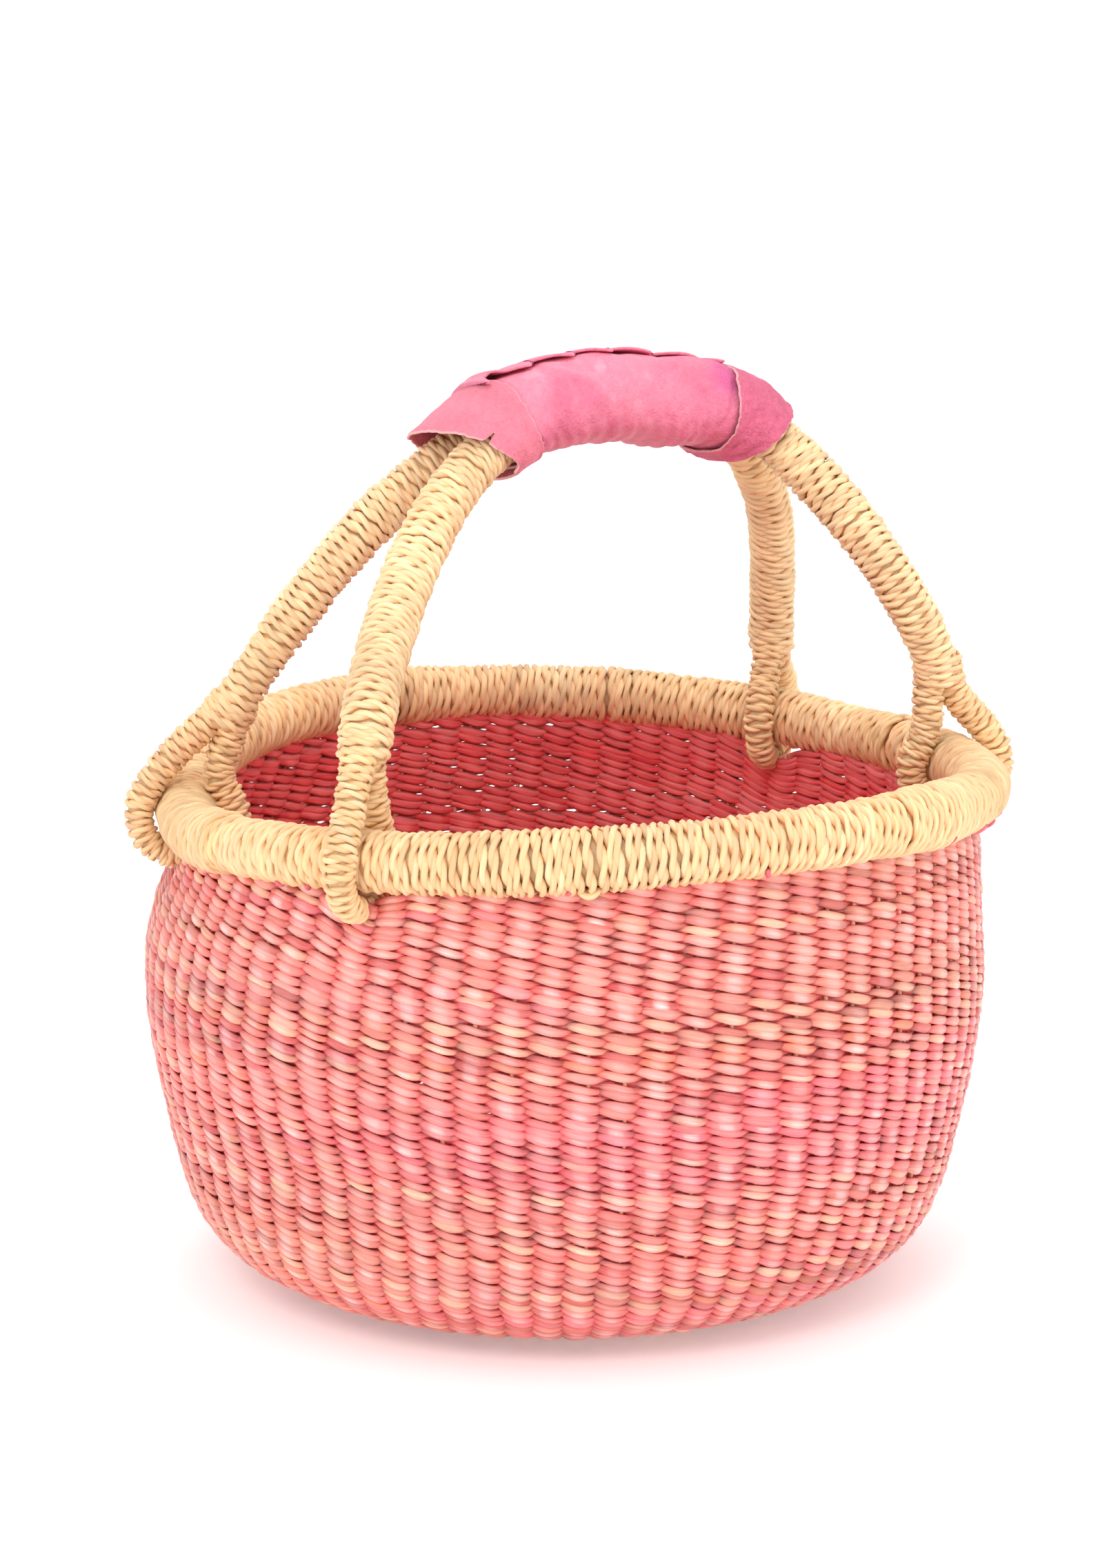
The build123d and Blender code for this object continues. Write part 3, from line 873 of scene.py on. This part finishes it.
def right_cuff_edge(turn):
    """Where the right cuff ends on the sleeve, at angles round the grip."""
    bottom = 3.0 * near_turn(turn, 4.9, 0.8)
    return 47 - 3 * np.cos(turn) - bottom + 11 * near_turn(turn, WORN_TURN, WORN_WIDTH)


def sleeve():
    """The main sleeve, puckered where the lapped edge is stitched down."""
    shape = (190, 250)
    turn = around_grip(shape[1])[None, :]
    worn_back = 15.0 * near_turn(turn, WORN_TURN, WORN_WIDTH)
    where = np.linspace(0, 1, shape[0])[:, None] * (GRIP_SPAN[1] - worn_back - GRIP_SPAN[0]) + GRIP_SPAN[0]
    lift = sleeve_lift(where, turn, shape)
    colour = sleeve_colour(where, turn, shape)
    return leather_sheet("grip_leather_sleeve", np.broadcast_to(where, shape), lift, LEATHER_THICKNESS,
                         np.broadcast_to(colour, (*shape, 3)), 0.0)


def sleeve_lift(where, turn, shape):
    """Height of the sleeve's bumps, puckers, folds underneath and crease by the right cuff."""
    near_seam = np.exp(-np.abs(half_turn(turn - flap_edge(where))) * 20 / 6.0)
    lift = bumps(shape, (9, 12), 0.45) + bumps(shape, (3, 4), 0.16)
    lift = lift - 0.9 * beside_stitch(where, 1.6) * near_seam
    folds = np.sin((where + 9 * turn + bumps(shape, (14, 20), 1.5)) * 2 * np.pi / 6.6)
    below = smoothstep(0.5, 1.6, 1 - np.cos(turn))
    lift = lift + 0.26 * folds * below
    under_cuffs = smoothstep(46, 51, where) + smoothstep(-44, -49, where)
    lift = lift * (1 - 0.8 * under_cuffs)
    crease = np.exp(-((where - 39 + 3 * np.sin(turn)) / 1.5) ** 2)
    return lift - crease * smoothstep(0.3, 0.9, np.cos(turn - 5.0))


def sleeve_colour(where, turn, shape):
    """Mottled pink with pale streaks, a magenta patch, darker towards the right end, painted shade
    underneath and painted shadow lines beside the cuffs.
    """
    tone = bumps(shape, (10, 12), 1.0)
    streak = bumps(shape, (3, 5), 1.0)
    pale = smoothstep(0.6, 2.2, streak)[..., None] * 0.5
    rosy = smoothstep(0.2, 2.0, tone)[..., None] * 0.7
    colour = LEATHER + (LEATHER_PALE - LEATHER) * pale + (LEATHER_ROSE - LEATHER) * rosy
    patch = np.exp(-((where - 40) / 6) ** 2) * np.exp(-((turn - 5.45) / 0.60) ** 2)
    patch = (patch * (1 + 0.35 * streak)).clip(0, 1)[..., None]
    colour = colour * (1 - 0.8 * patch) + LEATHER_MAGENTA * 0.8 * patch
    # Darker towards the right end, and painted shade on the underside of the grip.
    right_end_tone_and_shade = smoothstep(14, 40, where) * 0.35 + 0.30 * smoothstep(0.2, -0.8, np.cos(turn))
    colour = colour * (1 - right_end_tone_and_shade[..., None]) + LEATHER_ROSE * right_end_tone_and_shade[..., None]
    # Painted shadow: dark lines along the cuffs' edges, where they step up from the sleeve.
    beside_left = np.clip((where - left_cuff_edge(turn)) / 1.6, 0, 4)
    beside_right = np.clip((right_cuff_edge(turn) - where) / 1.6, 0, 4)
    cuff_edge_shadow = np.exp(-beside_left ** 2) + np.exp(-beside_right ** 2)
    return colour * (1 - 0.42 * np.clip(cuff_edge_shadow, 0, 1))[..., None]


def flap():
    """The lapped edge of the sleeve, lying over it from the back, with a thick scalloped rim."""
    steps, across = 280, 26
    thickness = 1.1
    where = np.linspace(-46.0, 42.0, steps)
    edge = flap_edge(where)
    between = np.sin(np.pi * scallop_phase(where)) ** 2
    back = np.linspace(0, 1, across)
    turn = edge[:, None] + back[None, :] * 1.15
    settle = smoothstep(1.0, 0.35, back)[None, :]
    curl = (0.35 + 0.75 * between)[:, None] * np.exp(-back * 7)[None, :]
    lift = -0.35 + (thickness + 0.25) * settle + curl + bumps((steps, across), (6, 4), 0.12)
    lift = lift - 0.5 * beside_stitch(where, 1.3)[:, None] * settle
    lift = lift + 2.6 * smoothstep(-36.0, -41.0, where)[:, None]
    top = grip_point(where[:, None], turn, lift)
    under = grip_point(where[:, None], turn, lift - thickness)[:, ::-1]
    nose = np.stack([grip_point(where, edge - 0.022, lift[:, 0] - thickness * part)
                     for part in (0.75, 0.5, 0.25)], 1)
    points = np.concatenate([top, under, nose], 1)
    around = points.shape[1]
    quads, uv = grid_faces(steps, around, False)
    flat = points.reshape(-1, 3)
    shade = np.broadcast_to(LEATHER, flat.shape) * (1 + 0.05 * smooth_noise((len(flat),), (60,)))[:, None]
    fan = np.array([(0, a, a + 1) for a in range(1, around - 1)])
    triangles = np.concatenate([fan[:, [0, 2, 1]], fan + (steps - 1) * around])
    uv = np.concatenate([uv, np.zeros((len(triangles) * 3, 2))])
    return build_mesh("grip_leather_flap", flat, quads, triangles, uv, np.clip(shade, 0, 1), flat + 40.0)


def cuff(name, start, end, base, edge_wave, ripple, grain):
    """A wide band of leather round one end of the sleeve, with cut edges that aren't quite straight.

    start and end are its edges along the grip, at each angle round it.
    """
    steps, turns = 76, len(start)
    part = np.linspace(0, 1, steps)[:, None]
    start = start + edge_wave * smooth_noise((turns,), (22,)) + 0.22 * smooth_noise((turns,), (2,))
    end = end + edge_wave * smooth_noise((turns,), (26,)) + 0.18 * smooth_noise((turns,), (2,))
    where = start[None, :] * (1 - part) + end[None, :] * part
    lift = 1.6 + bumps((steps, turns), (14, 20), 0.30) + bumps((steps, turns), (3, 4), ripple)
    lift = lift + 0.15 * smoothstep(0.12, 0.0, part) + 0.15 * smoothstep(0.9, 1.0, part)
    tone = bumps((steps, turns), (9, 14), 1.0)[..., None]
    colour = base * (1 + 0.05 * tone)
    return leather_sheet(name, where, lift, LEATHER_THICKNESS, np.clip(colour, 0, 1), grain)


def left_cuff():
    """The left cuff, with a small tear at the front of its outer edge."""
    turn = around_grip(CUFF_TURNS)
    torn = 5.0 * near_turn(turn, 5.15, 0.045) - 2.5 * near_turn(turn, 3.9, 0.10)
    start = -60 - 6 * np.cos(turn) + torn
    return cuff("left_leather_cuff", start, left_cuff_edge(turn), LEATHER_CUFF, 0.5, 0.07, 90.0)


def right_cuff():
    """The darker, pebbled right cuff."""
    turn = around_grip(CUFF_TURNS)
    end = np.full(CUFF_TURNS, 62.0)
    return cuff("right_leather_cuff", right_cuff_edge(turn), end, LEATHER_ROSE, 0.7, 0.24, 140.0)


def stitches():
    """Short stitches that hold the lapped edge down, at the points between the scallops."""
    first = math.ceil((GRIP_SPAN[0] - SCALLOP_START + 6) / SCALLOP)
    last = math.floor((GRIP_SPAN[1] - SCALLOP_START - 4) / SCALLOP)
    steps = 12
    lines = []
    for index in range(first, last + 1):
        where = SCALLOP_START + index * SCALLOP
        turn = flap_edge(np.array(where)) + np.linspace(-0.10, 0.12, steps)
        lift = 0.2 + 0.9 * np.sin(np.linspace(0, np.pi, steps)) ** 0.6
        lines.append(grip_point(where, turn, lift))
    return short_straws("grip_stitch_threads", np.array(lines), [-1.0, 0.0, 0.0], 0.38, LEATHER_ROSE * 0.8)


def bound_place():
    """The thick place of the back arch's wrap, bare between the sleeve and the right cuff."""
    where = np.linspace(36.0, 64.0, 80)
    swollen = np.exp(-((where - 50.5) / 6.0) ** 2)
    path = grip_point(where, 0.72, -7.0 + 2.4 * swollen)
    return wound_cord("back_arch_bound_place", path, 4.4 + 4.3 * swollen, BOUND_CORD, (0, 1, 0), NATURAL)


# ---- Materials
def new_material(name, values):
    """A material, its node tree, and its shader with some inputs given."""
    material = bpy.data.materials.new(name)
    material.use_nodes = True
    shader = material.node_tree.nodes["Principled BSDF"]
    for key, value in values.items():
        shader.inputs[key].default_value = value
    return material, material.node_tree, shader


def add_node(tree, kind, values=None, **settings):
    """A shader node with some of its inputs and settings given."""
    node = tree.nodes.new(kind)
    for key, value in settings.items():
        setattr(node, key, value)
    for key, value in (values or {}).items():
        node.inputs[key].default_value = value
    return node


def link(tree, start, output, end, key):
    tree.links.new(start.outputs[output], end.inputs[key])


def tinted(tree, shader, noise, low, high):
    """The mesh's own colour, made darker and lighter by a noise, as the base colour."""
    colour = add_node(tree, "ShaderNodeAttribute", attribute_name="straw")
    ends = {"From Min": 0.3, "From Max": 0.7, "To Min": low, "To Max": high}
    spread = add_node(tree, "ShaderNodeMapRange", ends)
    tint = add_node(tree, "ShaderNodeVectorMath", operation="SCALE")
    link(tree, noise, "Fac", spread, "Value")
    link(tree, colour, "Color", tint, 0)
    link(tree, spread, "Result", tint, "Scale")
    link(tree, tint, "Vector", shader, "Base Color")


def bumped(tree, shader, source, output, strength, distance):
    """A bump from a node's output."""
    bump = add_node(tree, "ShaderNodeBump", {"Strength": strength, "Distance": distance * MM})
    link(tree, source, output, bump, "Height")
    link(tree, bump, "Normal", shader, "Normal")


def straw_material(name, roughness, streak_scale, streak_depth, bump_height):
    """Straw: per-straw colour, fine fibres along it, a soft sheen."""
    material, tree, shader = new_material(name, {"Roughness": roughness, "Specular IOR Level": 0.35})
    fibre = add_node(tree, "ShaderNodeAttribute", attribute_name="fibre")
    scale = (0.10 * streak_scale, 1.1 * streak_scale, 1.0)
    stretch = add_node(tree, "ShaderNodeMapping", {"Scale": scale})
    streaks = add_node(tree, "ShaderNodeTexNoise", {"Scale": 1.0, "Detail": 4.0})
    link(tree, fibre, "Vector", stretch, "Vector")
    link(tree, stretch, "Vector", streaks, "Vector")
    tinted(tree, shader, streaks, 1.0 - streak_depth, 1.0 + streak_depth * 0.7)
    bumped(tree, shader, streaks, "Fac", 0.6, bump_height)
    return material


def leather_material(name, bump_height, roughness):
    """Soft leather: painted colour, cloudy mottling, fine grain and small wrinkles."""
    material, tree, shader = new_material(name, {"Roughness": roughness, "Specular IOR Level": 0.4})
    hide = add_node(tree, "ShaderNodeAttribute", attribute_name="fibre")
    cloud = add_node(tree, "ShaderNodeTexNoise", {"Scale": 0.35, "Detail": 6.0, "Distortion": 0.6})
    grain = add_node(tree, "ShaderNodeTexVoronoi", {"Scale": 1.1}, feature="DISTANCE_TO_EDGE")
    wrinkles = add_node(tree, "ShaderNodeTexNoise", {"Scale": 0.7, "Detail": 5.0, "Distortion": 1.2})
    heights = add_node(tree, "ShaderNodeMath", {1: 0.25}, operation="MULTIPLY_ADD")
    for node in (cloud, grain, wrinkles):
        link(tree, hide, "Vector", node, "Vector")
    link(tree, grain, "Distance", heights, 0)
    link(tree, wrinkles, "Fac", heights, 2)
    tinted(tree, shader, cloud, 0.90, 1.07)
    bumped(tree, shader, heights, "Value", 0.7, bump_height)
    return material


# ---- Build
dyed = straw_material("dyed_straw", 0.42, 1.0, 0.26, 0.35)
natural = straw_material("natural_cord", 0.50, 1.6, 0.12, 0.30)
plain = straw_material("straw_bundle", 0.60, 1.0, 0.10, 0.20)
soft_leather = leather_material("leather", 1.2, 0.52)
pebbled_leather = leather_material("leather_dark", 1.8, 0.55)
FINISHES = {"dyed_straw": dyed, "stake_straw": dyed, "natural_cord": natural, "straw_bundle": plain,
            "leather": soft_leather, "thread": soft_leather, "leather_dark": pebbled_leather}


def place(pieces, body, slot, *stands_for):
    """Finish one piece or several and let them ride on a body; the first stands for the CAD nodes."""
    for piece in pieces if isinstance(pieces, list) else [pieces]:
        piece.data.materials.append(FINISHES[slot])
        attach(piece, body)
        if stands_for:
            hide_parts(*stands_for)
            stands_for = ()


def build_weaving():
    """The wall, the base and the stakes in them."""
    place(weave_wall(), "basket", "dyed_straw", "wall_weft_outer", "wall_weft_inner")
    place(weave_base(), "basket", "dyed_straw", "base_weft_lower", "base_weft_upper")
    for kind, odd, first in (("main", 0, 1.0), ("added", 1, BASE_EDGE)):
        angles = np.arange(odd, STAKES, 2) * (2 * np.pi / STAKES)
        rods = stake_rods(f"{kind}_stake_straws", angles, first, 0.8, CORAL * 0.6 + STRAW * 0.4)
        place(rods, "basket", "stake_straw", f"{kind}_stakes")
    place(crossed_straws(), "basket", "dyed_straw", "base_cross_straws")


def build_rim_and_arches():
    """The cords round the rim and the arches, the bundles inside, and the stray straws."""
    place(wrap_rim(), "basket", "natural_cord", "rim_wrap")
    for row in ("front", "back"):
        place(wrap_arch(row), "handle", "natural_cord", f"{row}_arch_wrap")
        path = arch_curve(row)
        radius = np.linspace(*ARCH_TUBES[row], len(path)) - WRAP_DEPTH
        core = bundle(f"{row}_arch_bundle", path, radius, (0, 1, 0))
        place(core, "handle", "straw_bundle", f"{row}_arch_core")
    place(rim_stake_ends(), "basket", "dyed_straw")
    place(rim_loose_loop(), "basket", "natural_cord")
    place(loose_straw(), "handle", "natural_cord")
    ring = rim_point(np.linspace(0, 2 * np.pi, 720, endpoint=False))
    core = bundle("rim_bundle", ring, RIM_TUBE - WRAP_DEPTH, (0, 0, 1), True)
    place(core, "basket", "straw_bundle", "rim_core")


def build_prongs():
    """The two prongs of each foot."""
    for foot in FEET:
        for side, label in ((1, "outer"), (-1, "inner")):
            cord, core = wrap_prong(foot, side)
            place(cord, "handle", "natural_cord", f"{foot}_{label}_prong_wrap")
            place(core, "handle", "straw_bundle", f"{foot}_{label}_prong_core")


def build_grip():
    """The leather of the grip, its stitches, and the cord that shows between the leathers."""
    place(sleeve(), "handle", "leather", "grip_sleeve")
    place(flap(), "handle", "leather")
    place(left_cuff(), "handle", "leather", "left_grip_cuff")
    place(right_cuff(), "handle", "leather_dark", "right_grip_cuff")
    place(stitches(), "handle", "thread", "grip_seam_stitches")
    place(bound_place(), "handle", "natural_cord")


def colour_hidden_nodes():
    """A material for the CAD nodes, which the pieces above stand for."""
    hidden = new_material("straw_core", {"Base Color": (*STRAW_DARK * 0.7, 1)})[0]
    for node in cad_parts.values():
        node.data.materials.clear()
        node.data.materials.append(hidden)


build_weaving()
build_rim_and_arches()
build_prongs()
build_grip()
colour_hidden_nodes()


# ---- Camera, light and floor
CAMERA_TURN = math.radians(31.3)
CAMERA_RISE = math.radians(14.93)
CAMERA_DISTANCE = 1.6
CAMERA_TARGET = np.array([0.0, 0.0, 0.100])
LENS, SENSOR_WIDTH = 102.1, 36
SHIFT_X, SHIFT_Y = -0.0029, 0.133
FLOOR_REACH, FLOOR_DROP = 60.0, 0.0006
FLOOR_GREY, FLOOR_GLOW = 0.93, 0.22


def aim(thing, direction):
    thing.rotation_mode = "QUATERNION"
    thing.rotation_quaternion = Vector(direction).to_track_quat("-Z", "Y")


def add_camera():
    """The camera at the photograph's angle."""
    level = math.cos(CAMERA_RISE)
    away = np.array([math.sin(CAMERA_TURN) * level, math.cos(CAMERA_TURN) * level, -math.sin(CAMERA_RISE)])
    data = bpy.data.cameras.new("camera")
    camera = add_object("camera", data)
    camera.location = CAMERA_TARGET - away * CAMERA_DISTANCE
    aim(camera, away)
    data.lens = LENS
    data.sensor_width = SENSOR_WIDTH
    data.shift_x = SHIFT_X
    data.shift_y = SHIFT_Y
    data.clip_start = 0.05
    data.clip_end = 20
    scene.camera = camera


def add_floor():
    """A wide sheet of white paper that glows a little, so that it stays white out to the horizon."""
    data = bpy.data.meshes.new("floor")
    corners = ((-1, -1), (1, -1), (1, 1), (-1, 1))
    points = [(x * FLOOR_REACH, y * FLOOR_REACH, -FLOOR_DROP) for x, y in corners]
    data.from_pydata(points, [], [(0, 1, 2, 3)])
    data.materials.append(new_material("paper", {
        "Base Color": (FLOOR_GREY, FLOOR_GREY, FLOOR_GREY, 1), "Roughness": 0.9, "Specular IOR Level": 0.1,
        "Emission Color": (1, 1, 1, 1), "Emission Strength": FLOOR_GLOW})[0])
    add_object("floor", data)


def add_world():
    """White light from all round."""
    world = bpy.data.worlds.new("studio")
    world.use_nodes = True
    background = world.node_tree.nodes["Background"]
    background.inputs["Color"].default_value = (1, 1, 1, 1)
    background.inputs["Strength"].default_value = 1.0
    scene.world = world
    scene.view_settings.view_transform = "Standard"


def soft_light(name, location, size, power, target=(0, 0, 0.15)):
    """A round softbox aimed at a target."""
    data = bpy.data.lights.new(name, "AREA")
    data.shape = "DISK"
    data.size = size
    data.energy = power
    light = add_object(name, data)
    light.location = location
    aim(light, Vector(target) - Vector(location))


scene = bpy.context.scene
add_camera()
add_floor()
add_world()
soft_light("key", (-1.5, -1.3, 1.7), 0.9, 14)
soft_light("fill", (0.9, -1.9, 0.8), 1.6, 5)
soft_light("low", (-0.5, -1.9, 0.25), 1.2, 3.5, (0, 0, 0.05))
soft_light("top", (0.2, 0.3, 2.1), 1.2, 10)
